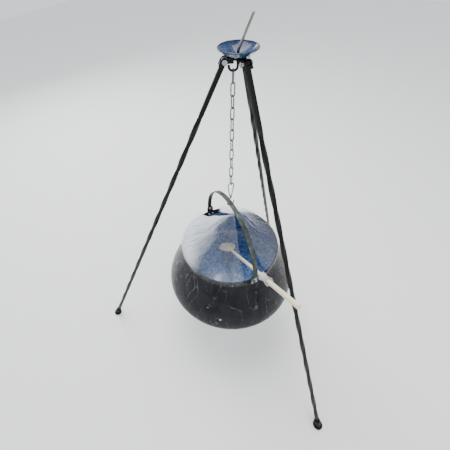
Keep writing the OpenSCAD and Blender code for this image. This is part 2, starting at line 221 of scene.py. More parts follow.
blackCoat = powderCoat()
dishEnamel = enamel("blueDishEnamel", "#1a3c66", "#0b1b33", "#56789f", 2.2 * mm, 0.3, 9 * mm, 0.35)
outerEnamel = enamel("blackKettleEnamel", "#1f2026", "#131418", "#c9ccd2", 11 * mm, 0.02, 45 * mm, 0.08)
innerEnamel = enamel("blueKettleEnamel", "#6c93c6", "#3b629c", "#b4c8e2", 6 * mm, 0.4, 13 * mm)
chainSteel = plainSteel("galvanisedWire", "#8e9195", "#54575b", 0.3, 260.0)
zincSteel = plainSteel("zincPlate", "#b8babd", "#96999d", 0.3, 180.0)
rodSteel = plainSteel("drawnRod", "#9a9691", "#7d7a76", 0.3, 40.0)
strapSteel = plainSteel("rolledStrap", "#585e5b", "#3a3f3d", 0.45, 70.0)
print("materials made")


def finishMesh(mesh, angle=35):
    mesh.validate()
    for face in mesh.polygons:
        face.use_smooth = True
    mesh.set_sharp_from_angle(angle=math.radians(angle))
    return mesh


def pieceFrom(name, verts, faces, materials, place=None, slots=None, angle=35, fixNormals=True):
    mesh = bpy.data.meshes.new(name)
    mesh.from_pydata([tuple(v) for v in verts], [], faces)
    for material in materials:
        mesh.materials.append(material)
    if slots:
        mesh.polygons.foreach_set("material_index", slots)
    if place is not None:
        mesh.transform(place)
    shape = bmesh.new()
    shape.from_mesh(mesh)
    bmesh.ops.remove_doubles(shape, verts=shape.verts, dist=1e-6)
    if fixNormals:
        bmesh.ops.recalc_face_normals(shape, faces=shape.faces)
    shape.to_mesh(mesh)
    shape.free()
    piece = bpy.data.objects.new(name, finishMesh(mesh, angle))
    bpy.context.scene.collection.objects.link(piece)
    return piece


# turns a profile of (radius, height, material number) points about Z; closed joins the last point to the first
def lathe(name, profile, materials, place=None, steps=64, closed=False, angle=35):
    count = len(profile)
    verts = [(p[0] * math.cos(t), p[0] * math.sin(t), p[1])
             for t in (2 * math.pi * i / steps for i in range(steps)) for p in profile]
    faces, slots = [], []
    for i in range(steps):
        a, b = i * count, ((i + 1) % steps) * count
        for k in range(count if closed else count - 1):
            n = (k + 1) % count
            ring = [a + k, b + k, b + n, a + n]
            if profile[k][0] < 1e-9:
                ring = [a + k, b + n, a + n]
            elif profile[n][0] < 1e-9:
                ring = [a + k, b + k, a + n]
            faces.append(ring)
            slots.append(profile[k][2] if len(profile[k]) > 2 else 0)
    return pieceFrom(name, verts, faces, materials, place, slots, angle)


# sweeps a ring of (side, up) points along a path; sizes scales the ring at each point
def sweep(name, path, ring, materials, place=None, sizes=None, side=None, closed=False, angle=50):
    path = [Vector(p) for p in path]
    verts, faces, many = [], [], len(ring)
    for i, p in enumerate(path):
        before = path[i - 1] if i or closed else path[i]
        after = path[(i + 1) % len(path)] if i + 1 < len(path) or closed else path[i]
        along = (after - before).normalized()
        right = Vector(side) if side else along.orthogonal().normalized()
        right = (right - along * right.dot(along)).normalized()
        up = along.cross(right)
        k = sizes[i] if sizes else (1, 1)
        verts += [p + right * (q[0] * k[0]) + up * (q[1] * k[1]) for q in ring]
    for i in range(len(path) if closed else len(path) - 1):
        a, b = i * many, ((i + 1) % len(path)) * many
        faces += [[a + j, a + (j + 1) % many, b + (j + 1) % many, b + j] for j in range(many)]
    if not closed:
        faces += [list(range(many))[::-1], [len(verts) - many + j for j in range(many)]]
    return pieceFrom(name, verts, faces, materials, place, None, angle)


def roundRing(radius, count=20):
    return [(radius * math.cos(2 * math.pi * i / count), radius * math.sin(2 * math.pi * i / count))
            for i in range(count)]


def roundedBox(halfWide, halfThick, corner, each=4):
    ring = []
    for sx, sy, start in ((1, 1, 0), (-1, 1, 90), (-1, -1, 180), (1, -1, 270)):
        for i in range(each + 1):
            t = math.radians(start + 90 * i / each)
            ring.append((sx * (halfWide - corner) + corner * math.cos(t),
                         sy * (halfThick - corner) + corner * math.sin(t)))
    return ring


def join(name, pieces):
    bpy.ops.object.select_all(action="DESELECT")
    for piece in pieces:
        piece.select_set(True)
    bpy.context.view_layer.objects.active = pieces[0]
    bpy.ops.object.join()
    pieces[0].name = name
    return pieces[0]


def arc(centre, radius, start, end, count):
    return [(centre[0] + radius * math.cos(math.radians(start + (end - start) * i / count)), 0,
             centre[1] + radius * math.sin(math.radians(start + (end - start) * i / count)))
            for i in range(count + 1)]


def evaluated(name, tree, values):
    holder = bpy.data.objects.new(name + "Maker", bpy.data.meshes.new(name + "Maker"))
    bpy.context.scene.collection.objects.link(holder)
    modifier = holder.modifiers.new("maker", "NODES")
    modifier.node_group = tree
    for item in tree.interface.items_tree:
        if item.item_type == "SOCKET" and item.in_out == "INPUT" and item.name in values:
            modifier[item.identifier] = values[item.name]
    bpy.context.view_layer.update()
    ready = holder.evaluated_get(bpy.context.evaluated_depsgraph_get())
    mesh = bpy.data.meshes.new_from_object(ready)
    holder.modifiers.clear()
    bpy.data.objects.remove(holder)
    mesh.name = name
    piece = bpy.data.objects.new(name, mesh)
    bpy.context.scene.collection.objects.link(piece)
    return piece


def startTree(name, inputs):
    tree = bpy.data.node_groups.new(name, "GeometryNodeTree")
    tree.interface.new_socket("Geometry", in_out="OUTPUT", socket_type="NodeSocketGeometry")
    for label, kind, value in inputs:
        socket = tree.interface.new_socket(label, in_out="INPUT", socket_type=kind)
        if value is not None:
            socket.default_value = value
    return tree, addNode(tree, "NodeGroupInput").outputs


def endTree(tree, geometry, material):
    solid = addNode(tree, "GeometryNodeRealizeInstances", {"Geometry": geometry})
    coloured = addNode(tree, "GeometryNodeSetMaterial", {"Geometry": solid.outputs["Geometry"],
                                                         "Material": material})
    addNode(tree, "NodeGroupOutput", {"Geometry": coloured.outputs["Geometry"]})
    return tree


# a square bar hanging down from the origin, plain at both ends and twisted between
def twistedBarTree():
    tree, given = startTree("twistedBar", [
        ("Top", "NodeSocketFloat", 0.0), ("Length", "NodeSocketFloat", 1.1), ("Side", "NodeSocketFloat", 0.01),
        ("Corner", "NodeSocketFloat", 0.0009), ("Plain Length", "NodeSocketFloat", 0.12),
        ("Twist Length", "NodeSocketFloat", 0.98), ("Quarter Turns", "NodeSocketFloat", 12.0),
        ("Material", "NodeSocketMaterial", None)])
    bottom = addNode(tree, "ShaderNodeMath", {0: given["Length"], 1: -1.0}, operation="MULTIPLY")
    topPoint = addNode(tree, "ShaderNodeCombineXYZ", {"Z": given["Top"]})
    lowPoint = addNode(tree, "ShaderNodeCombineXYZ", {"Z": bottom.outputs["Value"]})
    line = addNode(tree, "GeometryNodeCurvePrimitiveLine", {"Start": topPoint.outputs["Vector"],
                                                            "End": lowPoint.outputs["Vector"]})
    fine = addNode(tree, "GeometryNodeResampleCurve", {"Curve": line.outputs["Curve"], "Count": 420})
    place = addNode(tree, "GeometryNodeInputPosition")
    height = addNode(tree, "ShaderNodeSeparateXYZ", {"Vector": place.outputs["Position"]})
    down = addNode(tree, "ShaderNodeMath", {0: height.outputs["Z"], 1: -1.0}, operation="MULTIPLY")
    past = addNode(tree, "ShaderNodeMath", {0: down.outputs["Value"], 1: given["Plain Length"]},
                   operation="SUBTRACT")
    share = addNode(tree, "ShaderNodeMath", {0: past.outputs["Value"], 1: given["Twist Length"]},
                    operation="DIVIDE", use_clamp=True)
    turns = addNode(tree, "ShaderNodeMath", {0: share.outputs["Value"], 1: given["Quarter Turns"]},
                    operation="MULTIPLY")
    angle = addNode(tree, "ShaderNodeMath", {0: turns.outputs["Value"], 1: math.pi / 2}, operation="MULTIPLY")
    tilted = addNode(tree, "GeometryNodeSetCurveTilt", {"Curve": fine.outputs["Curve"],
                                                        "Tilt": angle.outputs["Value"]})
    square = addNode(tree, "GeometryNodeCurvePrimitiveQuadrilateral", {"Width": given["Side"],
                                                                       "Height": given["Side"]})
    eased = addNode(tree, "GeometryNodeFilletCurve", {"Curve": square.outputs["Curve"], "Radius": given["Corner"],
                                                      "Count": 3}, mode="POLY")
    bar = addNode(tree, "GeometryNodeCurveToMesh", {"Curve": tilted.outputs["Curve"],
                                                    "Profile Curve": eased.outputs["Curve"], "Fill Caps": True})
    return endTree(tree, bar.outputs["Mesh"], given["Material"])


# one welded link: round wire bent to a stadium in the XZ plane, its middle at the origin
def linkTree():
    tree, given = startTree("weldedLink", [
        ("Wire Radius", "NodeSocketFloat", 0.0015), ("Width", "NodeSocketFloat", 0.009),
        ("Length", "NodeSocketFloat", 0.03125), ("Weld Bulge", "NodeSocketFloat", 0.0002),
        ("Material", "NodeSocketMaterial", None)])
    frameCurve = addNode(tree, "GeometryNodeCurvePrimitiveQuadrilateral", {"Width": given["Width"],
                                                                           "Height": given["Length"]})
    half = addNode(tree, "ShaderNodeMath", {0: given["Width"], 1: 0.4999}, operation="MULTIPLY")
    stadium = addNode(tree, "GeometryNodeFilletCurve", {"Curve": frameCurve.outputs["Curve"],
                                                        "Radius": half.outputs["Value"], "Count": 10},
                      mode="POLY")
    fine = addNode(tree, "GeometryNodeResampleCurve", {"Curve": stadium.outputs["Curve"], "Count": 72})
    place = addNode(tree, "GeometryNodeInputPosition")
    parts = addNode(tree, "ShaderNodeSeparateXYZ", {"Vector": place.outputs["Position"]})
    onSide = addNode(tree, "ShaderNodeMath", {0: parts.outputs["X"], 1: 0.001}, operation="GREATER_THAN")
    away = addNode(tree, "ShaderNodeMath", {0: parts.outputs["Y"]}, operation="ABSOLUTE")
    near = addNode(tree, "ShaderNodeMapRange", {"Value": away.outputs["Value"], "From Min": 0.0,
                                                "From Max": 0.0018, "To Min": 1.0, "To Max": 0.0})
    lump = addNode(tree, "ShaderNodeMath", {0: onSide.outputs["Value"], 1: near.outputs["Result"]},
                   operation="MULTIPLY")
    extra = addNode(tree, "ShaderNodeMath", {0: lump.outputs["Value"], 1: given["Weld Bulge"]},
                    operation="MULTIPLY")
    total = addNode(tree, "ShaderNodeMath", {0: extra.outputs["Value"], 1: given["Wire Radius"]}, operation="ADD")
    ring = addNode(tree, "GeometryNodeCurvePrimitiveCircle", {"Resolution": 14, "Radius": 1.0})
    wire = addNode(tree, "GeometryNodeCurveToMesh", {
        "Curve": fine.outputs["Curve"], "Profile Curve": ring.outputs["Curve"], "Scale": total.outputs["Value"]})
    return endTree(tree, wire.outputs["Mesh"], given["Material"])


# places taken from the frame
tripodAxis = Vector(joints["hook_swivel"]["pos_m"]).xy
chainAxis = Vector(joints["link_01_swing"]["pos_m"]).xy
hingeHeight = joints["leg_back_fold"]["pos_m"][2]
hingeOut = joints["leg_back_fold"]["pos_m"][1] - tripodAxis.y
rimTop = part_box("kettle")[1][2]
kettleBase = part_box("kettle")[0][2]
bailPivot = joints["kettle_tip"]["pos_m"][2]
bailTurn = azimuth(joints["kettle_hook_swing"]["axis"])


def upright(axis, turn=0.0, z=0.0):
    return Matrix.Translation((axis.x, axis.y, z)) @ Matrix.Rotation(turn, 4, "Z")


# three legs of twisted bar, each with an eye at the top and a pad at the foot
legs = dict(side=10 * mm, corner=0.9 * mm, eyeRadius=7 * mm, bore=3.1 * mm, plain=122 * mm, twist=984 * mm,
            quarterTurns=12.0, lean=math.atan(500 / 1100), endGap=8.4 * mm, footRadius=497 * mm,
            top=-5.5 * mm, eyeEase=0.8 * mm, sleeveRadius=9.2 * mm, sleeveLow=3 * mm, sleeveHeight=27 * mm,
            turns={"back": 0.0, "left": 120.0, "right": 240.0})
barTree = twistedBarTree()
legLength = hingeHeight / math.cos(legs["lean"]) - legs["endGap"]
for name, turn in legs["turns"].items():
    outward = upright(tripodAxis, math.radians(turn))
    place = outward @ Matrix.Translation((0, hingeOut, hingeHeight)) @ Matrix.Rotation(legs["lean"], 4, "X")
    bar = evaluated("bar" + name, barTree, {
        "Top": legs["top"], "Length": legLength, "Side": legs["side"], "Corner": legs["corner"],
        "Plain Length": legs["plain"], "Twist Length": legs["twist"], "Quarter Turns": legs["quarterTurns"],
        "Material": blackCoat})
    bar.data.transform(place)
    finishMesh(bar.data, 40)
    halfBar, eyeRadius, eased = legs["side"] / 2, legs["eyeRadius"], legs["eyeRadius"] - legs["eyeEase"]
    eye = lathe("eye" + name, [(legs["bore"], -halfBar), (eased, -halfBar), (eyeRadius, legs["eyeEase"] - halfBar),
                               (eyeRadius, halfBar - legs["eyeEase"]), (eased, halfBar), (legs["bore"], halfBar)],
                [blackCoat], place @ Matrix.Rotation(math.pi / 2, 4, "Y"), 48, True)
    leg = join("leg_" + name + "_bar", [bar, eye])
    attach(leg, "leg_" + name + "_group")
    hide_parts("leg_" + name)
    pad = lathe("pad" + name, [(0, 0), (13.8 * mm, 0), (15 * mm, 1.2 * mm), (15 * mm, 3.6 * mm),
                               (14.4 * mm, 5 * mm), (12.4 * mm, 7.4 * mm), (10 * mm, 9.4 * mm),
                               (8 * mm, 10 * mm), (0, 10 * mm)],
                [blackCoat], outward @ Matrix.Translation((0, legs["footRadius"], 0)), 56)
    low, wide = -legLength - legs["sleeveLow"], legs["sleeveRadius"]
    high = low + legs["sleeveHeight"]
    sleeve = lathe("sleeve" + name, [(0, low + 1 * mm), (8 * mm, low + 1 * mm), (wide, low + 3 * mm),
                                     (wide, high - 1 * mm), (8.5 * mm, high), (4 * mm, high), (0, high)],
                   [blackCoat], place, 40)
    foot = join("foot_" + name + "_pad", [pad, sleeve])
    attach(foot, "leg_" + name + "_group")
    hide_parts("foot_" + name)
print("legs made")

# the dish is one ball-shaped shell with a rolled bead
dish = dict(radius=40 * mm, depth=17 * mm, thick=1.5 * mm, rim=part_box("head_dish")[1][2] - 1.5 * mm, hole=3.1 * mm,
            bead=1.5 * mm, seat=8.5 * mm)
ballIn = (dish["radius"] ** 2 + dish["depth"] ** 2) / (2 * dish["depth"])
ballOut = ballIn + dish["thick"]
ballMid = dish["rim"] - dish["depth"] + ballIn
beadOut = dish["radius"] + 0.6 * mm
seatHeight = ballMid - math.sqrt(ballIn ** 2 - dish["seat"] ** 2)
profile = [(dish["hole"], seatHeight), (dish["seat"], seatHeight)]
for i in range(1, 15):
    r = dish["seat"] + (dish["radius"] - 0.4 * mm - dish["seat"]) * i / 14
    profile.append((r, ballMid - math.sqrt(ballIn ** 2 - r ** 2)))
for i in range(11):
    t = math.radians(200 - 230 * i / 10)
    profile.append((beadOut + dish["bead"] * math.cos(t), dish["rim"] + dish["bead"] * math.sin(t)))
for i in range(15):
    r = beadOut - (beadOut - dish["hole"]) * i / 14
    profile.append((r, ballMid - math.sqrt(ballOut ** 2 - r ** 2)))
bowl = lathe("enamelDish", profile, [dishEnamel], upright(tripodAxis), 112, True)
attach(bowl, "head")
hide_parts("head_dish")

# a J below, a stem through the dish and a bare leaning rod above
hook = dict(wire=2.5 * mm, bend=9 * mm, plane=math.radians(28.6), bendHeight=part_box("top_hook")[0][2] + 11.5 * mm,
            stem=3 * mm, tipBend=20 * mm, tipFrom=3, tipTo=9, rodBend=12 * mm, rodLean=21.7,
            rodLength=66 * mm, rodTurn=math.radians(22.8), stemLow=1033 * mm, stemTop=seatHeight + 9 * mm)
path = [(0, 0, 7 * mm)] + arc((-hook["bend"], 0), hook["bend"], 360, 180, 28)
path += arc((-2 * hook["bend"] - hook["tipBend"], 0), hook["tipBend"], hook["tipFrom"], hook["tipTo"], 4)
sizes = [(1, 1)] * (len(path) - 2) + [(0.92, 0.92), (0.6, 0.6)]
bend = sweep("hookBend", path, roundRing(hook["wire"]), [blackCoat],
             upright(tripodAxis, hook["plane"], hook["bendHeight"]), sizes, side=(0, 1, 0))
stem = lathe("hookStem", [(0, hook["stemLow"]), (2.4 * mm, hook["stemLow"]),
                          (hook["stem"], hook["stemLow"] + 1 * mm), (hook["stem"], hook["stemTop"]),
                          (0, hook["stemTop"])], [blackCoat], upright(tripodAxis), 32)
lean, rodBend = math.radians(hook["rodLean"]), hook["rodBend"]
rodPath = [(0, 0, -1 * mm)] + arc((rodBend, 0), rodBend, 180, 180 - hook["rodLean"], 8)
for past in (0, 1 * mm, 1.6 * mm):   # straight part, then the eased end
    run = hook["rodLength"] + past
    rodPath.append((rodBend * (1 - math.cos(lean)) + run * math.sin(lean), 0,
                    rodBend * math.sin(lean) + run * math.cos(lean)))
rod = sweep("hookRod", rodPath, roundRing(hook["stem"] - 0.1 * mm), [rodSteel],
            upright(tripodAxis, hook["rodTurn"], hook["stemTop"] - 1 * mm),
            [(1, 1)] * (len(rodPath) - 2) + [(0.9, 0.9), (0.6, 0.6)], side=(0, 1, 0))
topHook = join("stemmed_hook", [bend, stem, rod])
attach(topHook, "hook")
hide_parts("top_hook")
print("head made")

# eleven welded links, each set at its own node and turned to the joint below it
link = dict(wire=1.5 * mm, width=9 * mm, length=31.25 * mm, bulge=0.15 * mm)
oneLink = linkTree()
for i in range(1, 12):
    follower = "link_%02d_swing" % (i + 1) if i < 11 else "kettle_hook_swing"
    turn = azimuth(joints[follower]["axis"])
    node = "chain_link_%02d" % i
    middle = (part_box(node)[0][2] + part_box(node)[1][2]) / 2
    piece = evaluated("welded_link_%02d" % i, oneLink, {
        "Wire Radius": link["wire"], "Width": link["width"], "Length": link["length"],
        "Weld Bulge": link["bulge"], "Material": chainSteel})
    flip = Matrix.Rotation(math.pi * (i % 2), 4, "Z")   # welds on alternate sides
    piece.data.transform(upright(chainAxis, turn, middle) @ flip @ Matrix.Rotation(math.pi / 2, 4, "X"))
    finishMesh(piece.data, 60)
    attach(piece, "link_%02d" % i)
    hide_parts(node)
print("chain made")

# pear-shaped wire: an eye for the chain, a wrapped neck and a cradle for the strap
pear = dict(wire=1.5 * mm, eye=9 * mm, neckSide=1.6 * mm, neckDrop=41 * mm, sleeve=8 * mm, side=10 * mm,
            corner=4 * mm, crankRadius=7 * mm, crank=50, wrapWire=1.1 * mm, wrapRadius=2.1 * mm, wrapLong=5.8 * mm,
            wraps=3.5)
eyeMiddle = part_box("kettle_hook")[1][2] - pear["eye"] - pear["wire"]
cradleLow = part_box("kettle_hook")[0][2] + pear["wire"] - eyeMiddle
neckSide, neckLow, crankBend = pear["neckSide"], -pear["neckDrop"], pear["crankRadius"]
touch = math.degrees(math.atan2(neckLow, neckSide) + math.acos(pear["eye"] / math.hypot(neckSide, neckLow)))
crankAngle = math.radians(pear["crank"])
run = (pear["side"] - neckSide - 2 * crankBend * (1 - math.cos(crankAngle))) / math.sin(crankAngle)
crankDrop = 2 * crankBend * math.sin(crankAngle) + run * math.cos(crankAngle)
crankTop = neckLow - pear["sleeve"] / 2
side, corner = pear["side"], pear["corner"]
pearPlace = upright(chainAxis, bailTurn - math.pi / 2, eyeMiddle)
path = [(-neckSide, 0, neckLow)] + arc((0, 0), pear["eye"], 180 - touch, touch, 32) + [(neckSide, 0, neckLow)]
path += arc((neckSide + crankBend, crankTop), crankBend, 180, 180 + pear["crank"], 8)
path += arc((side - crankBend, crankTop - crankDrop), crankBend, pear["crank"], 0, 8)
path += arc((side - corner, cradleLow + corner), corner, 0, -90, 8)
path += arc((corner - side, cradleLow + corner), corner, 270, 180, 8)
path += [(-side, 0, cradleLow + corner + 8 * mm), (-side, 0, cradleLow + corner + 9 * mm)]
wire = sweep("pearWire", path, roundRing(pear["wire"], 16), [chainSteel], pearPlace,
             [(1, 1)] * (len(path) - 1) + [(0.6, 0.6)], side=(0, 1, 0))
coil = []
for i in range(85):   # three and a half turns of thinner wire round the neck
    t = 2 * math.pi * pear["wraps"] * i / 84
    coil.append((pear["wrapRadius"] * math.cos(t), pear["wrapRadius"] * math.sin(t),
                 crankTop + pear["wrapWire"] + pear["wrapLong"] * i / 84))
wrap = sweep("pearWrap", coil, roundRing(pear["wrapWire"], 12), [chainSteel], pearPlace, side=(0, 0, 1))
pearHook = join("pear_hook", [wire, wrap])
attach(pearHook, "kettle_hook")
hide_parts("kettle_hook")

# flat strap bent to a half ring, rounded off below its pivots
strap = dict(width=14 * mm, thick=3 * mm, reach=162.1 * mm, top=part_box("bail")[1][2] - 1.5 * mm, steps=96,
             tail=7 * mm)


def arch(t):
    return Vector((strap["reach"] * math.cos(t), 0, bailPivot + (strap["top"] - bailPivot) * math.sin(t)))


path = [arch(math.pi * i / strap["steps"]) for i in range(strap["steps"] + 1)]
for i in range(1, 9):   # rounded ends below the pivots
    drop = strap["tail"] * math.sin(math.pi / 2 * i / 8)
    path.insert(0, (strap["reach"], 0, bailPivot - drop))
    path.append((-strap["reach"], 0, bailPivot - drop))
sizes = []
for point in path:
    below = max(0.0, bailPivot - point[2])
    sizes.append((max(math.sqrt(max(0.0, 1 - (below / strap["tail"]) ** 2)), 0.08), 1.0))
bail = sweep("strap_bail", path, roundedBox(strap["width"] / 2, strap["thick"] / 2, 0.7 * mm), [strapSteel],
             upright(chainAxis, bailTurn), sizes, side=(0, 1, 0))
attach(bail, "bail")
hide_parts("bail")
print("hook and bail made")

# the kettle's wall is two curves that meet at the belly; its inside is the same line moved in by the wall
pot = dict(collar=155 * mm, rim=rimTop - 1 * mm, belly=218 * mm, bellyHeight=288 * mm, base=kettleBase,
           flat=95 * mm, wall=1.6 * mm, bead=2 * mm, drop=20 * mm)
wallCurve = [(pot["collar"], pot["rim"] - pot["drop"]), (pot["collar"] + 3 * mm, pot["rim"] - 40 * mm),
             (pot["belly"] - 3 * mm, pot["bellyHeight"] + 45 * mm), (pot["belly"], pot["bellyHeight"])]
baseCurve = [(pot["belly"], pot["bellyHeight"]), (pot["belly"], pot["bellyHeight"] - 30 * mm),
             (pot["belly"] - 34 * mm, pot["base"]), (pot["flat"], pot["base"])]


def bezier(p, t, offset=0.0):
    q = 1 - t
    point = [q ** 3 * p[0][i] + 3 * t * q * q * p[1][i] + 3 * t * t * q * p[2][i] + t ** 3 * p[3][i]
             for i in (0, 1)]
    slope = [3 * q * q * (p[1][i] - p[0][i]) + 6 * t * q * (p[2][i] - p[1][i]) + 3 * t * t * (p[3][i] - p[2][i])
             for i in (0, 1)]
    size = math.hypot(*slope)
    return (point[0] - offset * slope[1] / size, point[1] + offset * slope[0] / size)


def wallLine(offset, many=40):
    return [bezier(wallCurve, i / many, offset) for i in range(many)] + \
           [bezier(baseCurve, i / many, offset) for i in range(many + 1)]


outer = wallLine(0.0)[::-1]
profile = [(0, pot["base"], 0)] + [(r, z, 0) for r, z in outer]
for i in range(15):   # rolled rim
    t = math.radians(-60 + 300 * i / 14)
    profile.append((pot["collar"] - 0.2 * mm + pot["bead"] * math.cos(t),
                    pot["rim"] - pot["bead"] + 1.0 * mm + pot["bead"] * math.sin(t), 0))
profile += [(r, z, 1) for r, z in wallLine(-pot["wall"])] + [(0, pot["base"] + pot["wall"], 1)]
shell = lathe("enamelled_kettle", profile, [outerEnamel, innerEnamel], upright(chainAxis, bailTurn), 192, False, 50)
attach(shell, "kettle")
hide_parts("kettle")
print("kettle made")

spoon = dict(rise=math.radians(34.4), turn=math.radians(-42), offset=(-46 * mm, 80 * mm, 307.5 * mm),
             length=500 * mm, bowlLong=44 * mm, bowlWide=30 * mm, bowlDeep=9 * mm, neck=5.5 * mm, butt=7 * mm,
             edge=1.2 * mm, throat=4.6 * mm, lip=1.4 * mm, scoop=7.2 * mm)
spoonPlace = upright(chainAxis) @ Matrix.Translation(spoon["offset"]) @ Matrix.Rotation(spoon["turn"], 4, "Z") \
    @ Matrix.Rotation(-spoon["rise"], 4, "Y")
verts, faces, rings, around = [], [], [], 28
for u in (-1 + 2 * i / 30 for i in range(31)):   # bowl: round below, hollowed above
    x = spoon["bowlLong"] * u
    share = math.sqrt(max(0.0, 1 - u * u))
    half = spoon["bowlWide"] * share ** 0.9
    if abs(u) > 0.9:
        half = max(half, spoon["neck"] * (1 if u > 0 else 0.12))
    rings.append((x, half, max(spoon["bowlDeep"] * share ** 0.8, spoon["throat" if u > 0.93 else "edge"]), u))
for i in range(1, 41):
    u = i / 40
    x = spoon["bowlLong"] + (spoon["length"] - spoon["bowlLong"]) * u
    r = spoon["neck"] + (spoon["butt"] - spoon["neck"]) * u
    rings.append((x, r, r, 2))
rings.append((spoon["length"] + 0.6 * mm, spoon["butt"] * 0.8, spoon["butt"] * 0.8, 2))
for x, half, deep, u in rings:
    for j in range(around):
        t = 2 * math.pi * j / around
        y, z = half * math.cos(t), deep * math.sin(t)
        if z > 0 and abs(u) < 0.9:   # scoop out the top of the bowl, leaving a lip
            inside = max(0.0, 1 - (y / (half * 0.86)) ** 2) * (1 - (u / 0.9) ** 2)
            z = spoon["lip"] + (z - spoon["lip"]) * 0.25 - spoon["scoop"] * inside
        verts.append((x, y, z))
for i in range(len(rings) - 1):
    a, b = i * around, (i + 1) * around
    faces += [[a + j, b + j, b + (j + 1) % around, a + (j + 1) % around] for j in range(around)]
faces += [list(range(around)), [len(verts) - around + j for j in range(around)][::-1]]
beechWood = beech((0, -spoon["rise"], spoon["turn"]))
ladle = pieceFrom("beech_spoon", verts, faces, [beechWood], spoonPlace, None, 50)
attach(ladle, "spoon")
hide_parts("wooden_spoon")
print("spoon made")

# wall rows follow the kettle from the middle of its base, tent rows lead on to the gathering at the strap
film = dict(clear=1.5 * mm, around=288, wallRows=92, tentRows=46, tieAt=math.radians(78), ring=11 * mm,
            tail=22 * mm, overRim=0.18, gathered=0.9, legAt=-141.6, flat=(0.9, 0.67), seed=4.0)
glareTurn = math.radians(163)   # painted glare: the film is painted whiter over this side of the mouth
glareSide = (math.cos(glareTurn), math.sin(glareTurn), 0.0)
clearFilm = polythene(glareSide, chainAxis.x * glareSide[0] + chainAxis.y * glareSide[1] + 0.035)


def rough(x, y, z, size):
    return noise.noise(Vector((x / size + film["seed"], y / size, z / size)))


def smooth(x):
    x = min(max(x, 0.0), 1.0)
    return x * x * (3 - 2 * x)


def folds(phi, s):
    drift = phi + 0.25 * rough(phi * 0.5, s * 3, 0, 0.6)
    fine = abs(noise.noise(Vector((drift * 9, s * 2.2, film["seed"]))))
    broad = noise.noise(Vector((drift * 3.1, s * 3.4, film["seed"] + 7)))
    small = abs(noise.noise(Vector((phi * 22, s * 14, film["seed"] + 3))))
    return (4.2 * mm * (1 - min(1, fine * 3.2)) ** 2 + 3.4 * mm * (broad + 0.5)
            + 1.6 * mm * (1 - min(1, small * 3)) ** 2)


tieMiddle = arch(film["tieAt"])
tieAlong = (arch(film["tieAt"] + 0.01) - arch(film["tieAt"])).normalized()
tieUp = tieAlong.cross(Vector((0, 1, 0))).normalized()
if tieUp.z < 0:
    tieUp = -tieUp
outline = [(pot["flat"] * i / 8, pot["base"]) for i in range(8)] + outer
lengths = [0.0]
for p, q in zip(outline, outline[1:]):
    lengths.append(lengths[-1] + math.dist(p, q))


# the point at distance d from the middle of the base, and the outward direction there
def alongOutline(d):
    i = next((i for i in range(1, len(outline)) if lengths[i] >= d), len(outline) - 1)
    (r, z), (nextR, nextZ) = outline[i - 1], outline[i]
    f = (d - lengths[i - 1]) / (lengths[i] - lengths[i - 1])
    size = math.hypot(nextR - r, nextZ - z)
    return r + f * (nextR - r), z + f * (nextZ - z), (nextZ - z) / size, -(nextR - r) / size


verts, faces = [], []
around = film["around"]
for j in range(around):
    phi = -math.pi + 2 * math.pi * j / around          # 0 faces the closed side, +90 degrees is the front ear
    degrees = math.degrees(phi)
    inward = Vector((math.sin(phi), -math.cos(phi), 0))   # in the bail's frame, +X is the front ear
    side = abs(degrees)
    # open at both ears, and wider at the front one, where the spoon's handle comes out
    tent = smooth((81 - side) / 6) if side < 90 else smooth((side - (106 if degrees > 0 else 99)) / 6)
    calm = 1 - 0.8 * math.exp(-((degrees - film["legAt"]) / 26) ** 2)   # flatter where the back leg folds in
    column = []
    for i in range(film["wallRows"] + 1):
        s = i / film["wallRows"]
        r, z, nr, nz = alongOutline(lengths[-1] * s)
        lift = film["clear"] * (0.4 + 0.6 * calm)
        lift += calm * folds(phi, s * 1.2) * smooth(r / 0.06) * (0.35 + 0.65 * smooth((0.97 - s) / 0.1))
        fan = math.exp(-((side - 88) / 16) ** 2) * (1 if degrees > 0 else 0.3) * smooth((s - 0.45) / 0.5)
        lift += 4 * mm * fan * (1 - min(1, abs(noise.noise(Vector((phi * 26, s * 1.2, 9.0)))) * 3))
        column.append(Vector((0, 0, z)) + inward * r + (inward * nr + Vector((0, 0, nz))) * lift)
    base = column[-1].copy()                           # just under the collar's ears
    shoulder = Vector((0, 0, rimTop + 3 * mm)) + inward * (pot["collar"] + 6 * mm)
    goal = tieMiddle + film["ring"] * (Vector((0, -1, 0)) * math.cos(phi)
                                       - tieUp * abs(math.sin(phi)) * 0.9 + tieAlong * 0.25 * math.sin(phi))
    spike = 0.5 + 0.8 * abs(noise.noise(Vector((phi * 17, 1.0, 5.0))))
    spread = (goal - tieMiddle).normalized() * 0.85 + tieUp * 0.1 + Vector((0, 0, 0.35))
    for i in range(1, film["tentRows"] + 1):
        u = i / film["tentRows"]
        if u < film["overRim"]:
            raised = base.lerp(shoulder, u / film["overRim"])
        elif u < film["gathered"]:
            w = (u - film["overRim"]) / (film["gathered"] - film["overRim"])
            sag = math.sin(math.pi * w)
            crease = abs(noise.noise(Vector((phi * 11, w * 1.4, 2.0))))
            raised = shoulder.lerp(goal, w) + Vector((0, 0, -14 * mm * sag))
            raised += inward * (12 * mm * (1 - min(1, crease * 3)) - 4 * mm) * sag
            raised += inward * 6 * mm * rough(phi, w, 1.0, 0.25) * sag
        else:
            raised = goal + spread * film["tail"] * (u - film["gathered"]) / (1 - film["gathered"]) * spike
        low = base + Vector((0, 0, 2 * mm * u)) + inward * 0.4 * mm * u
        column.append(low.lerp(raised, tent))
    verts += column
many = film["wallRows"] + film["tentRows"] + 1
for j in range(around):
    a, b = j * many, ((j + 1) % around) * many
    for i in range(many - 1):
        faces.append([a + i, b + i, b + i + 1, a + i + 1])
wrap = pieceFrom("film_bag", verts, faces, [clearFilm], upright(chainAxis, bailTurn), None, 180, False)

